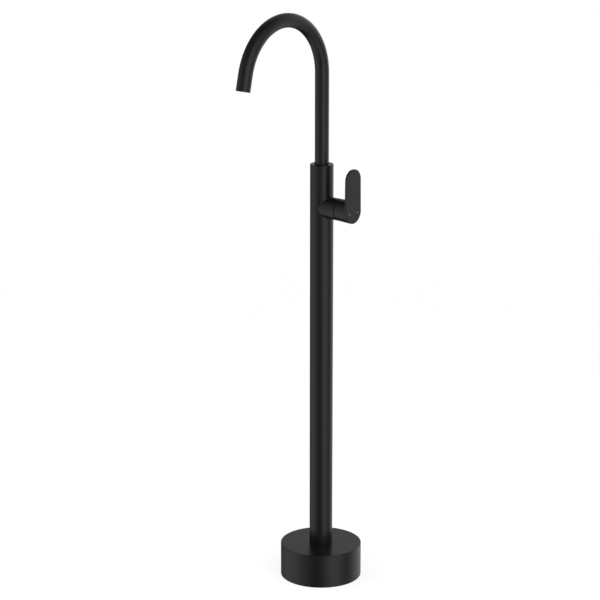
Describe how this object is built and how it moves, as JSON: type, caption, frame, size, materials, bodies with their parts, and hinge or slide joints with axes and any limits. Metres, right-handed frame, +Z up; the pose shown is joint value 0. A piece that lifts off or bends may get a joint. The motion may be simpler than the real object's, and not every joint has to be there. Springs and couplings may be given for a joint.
{
  "type": "floor standing bath filler",
  "caption": "Slim round column on a drum shaped foot, with a swivelling gooseneck spout and a flat side lever that sets the flow and temperature of the bath water.",
  "frame": {"origin": "on the floor, on the axis of the column, in the middle of the floor bolts", "axes": "+Z up along the column; -Y forward, the way the spout reaches; +X to the right, out along the lever's valve axis"},
  "size_m": [0.15, 0.2999, 1.0677],
  "materials": {
    "black_coat": "satin black powder coat on metal",
    "zinc_steel": "zinc plated steel",
    "steel": "plain stainless steel",
    "brass": "machined brass",
    "copper": "drawn copper tube",
    "rubber": "black sealing rubber",
    "ceramic": "lapped ceramic",
    "white_plastic": "natural acetal plastic",
    "black_plastic": "black acetal plastic",
    "dark_metal": "dark plated brass",
    "grey_plastic": "grey plastic",
    "index_grey": "light grey enamel"
  },
  "bodies": {
    "stand": {"floor_flange": "zinc_steel", "flange_clamp_screws": "steel", "column_tube": "black_coat", "hot_supply_pipe": "copper", "cold_supply_pipe": "copper", "hot_inlet_tail": "brass", "cold_inlet_tail": "brass", "pipe_spacers": "white_plastic", "pipe_seal_rings": "rubber", "mixer_body": "brass", "riser_tube": "brass", "valve_barrel": "black_coat", "cartridge_base": "white_plastic", "port_seal_rings": "rubber", "fixed_ceramic_disc": "ceramic", "cartridge_housing": "white_plastic", "retaining_nut": "brass", "dome_cover": "black_coat", "spout_socket": "brass", "swivel_bush": "black_plastic", "spout_stop_screw": "steel"},
    "cover": {"base_cover": "black_coat", "cover_seal_ring": "rubber"},
    "spout": {"spout_tube": "black_coat", "spout_spigot": "brass", "spigot_seal_rings": "rubber", "aerator_housing": "dark_metal", "flow_straightener": "grey_plastic", "aerator_gasket": "rubber"},
    "rotor": {"cartridge_rotor": "white_plastic", "tilt_pin": "steel"},
    "lever": {"lever_stem": "steel", "lever_handle": "black_coat", "lever_set_screw": "steel", "set_screw_plug": "black_plastic", "hot_index_dot": "index_grey", "cold_index_dot": "index_grey"},
    "disc": {"moving_ceramic_disc": "ceramic", "disc_carrier": "white_plastic"}
  },
  "joints": [
    {"name": "spout_swivel", "type": "hinge", "parent": "stand", "child": "spout", "pos_m": [0, 0, 0.76], "axis": [0, 0, 1], "range_deg": [-60, 60]},
    {"name": "temperature_turn", "type": "hinge", "parent": "stand", "child": "rotor", "pos_m": [0.03, 0, 0.7077], "axis": [1, 0, 0], "range_deg": [-45, 45]},
    {"name": "lever_tilt", "type": "hinge", "parent": "rotor", "child": "lever", "pos_m": [0.03, 0, 0.7077], "axis": [0, 1, 0], "range_deg": [0, 22]},
    {"name": "disc_slide", "type": "slide", "parent": "rotor", "child": "disc", "axis": [0, 0, 1], "range_m": [0, 0.0036]},
    {"name": "cover_lift", "type": "slide", "parent": "stand", "child": "cover", "axis": [0, 0, 1], "range_m": [0, 0.6]}
  ],
  "couplings": [
    {"joint": "disc_slide", "follows": "lever_tilt", "m_per_rad": 0.009268}
  ]
}
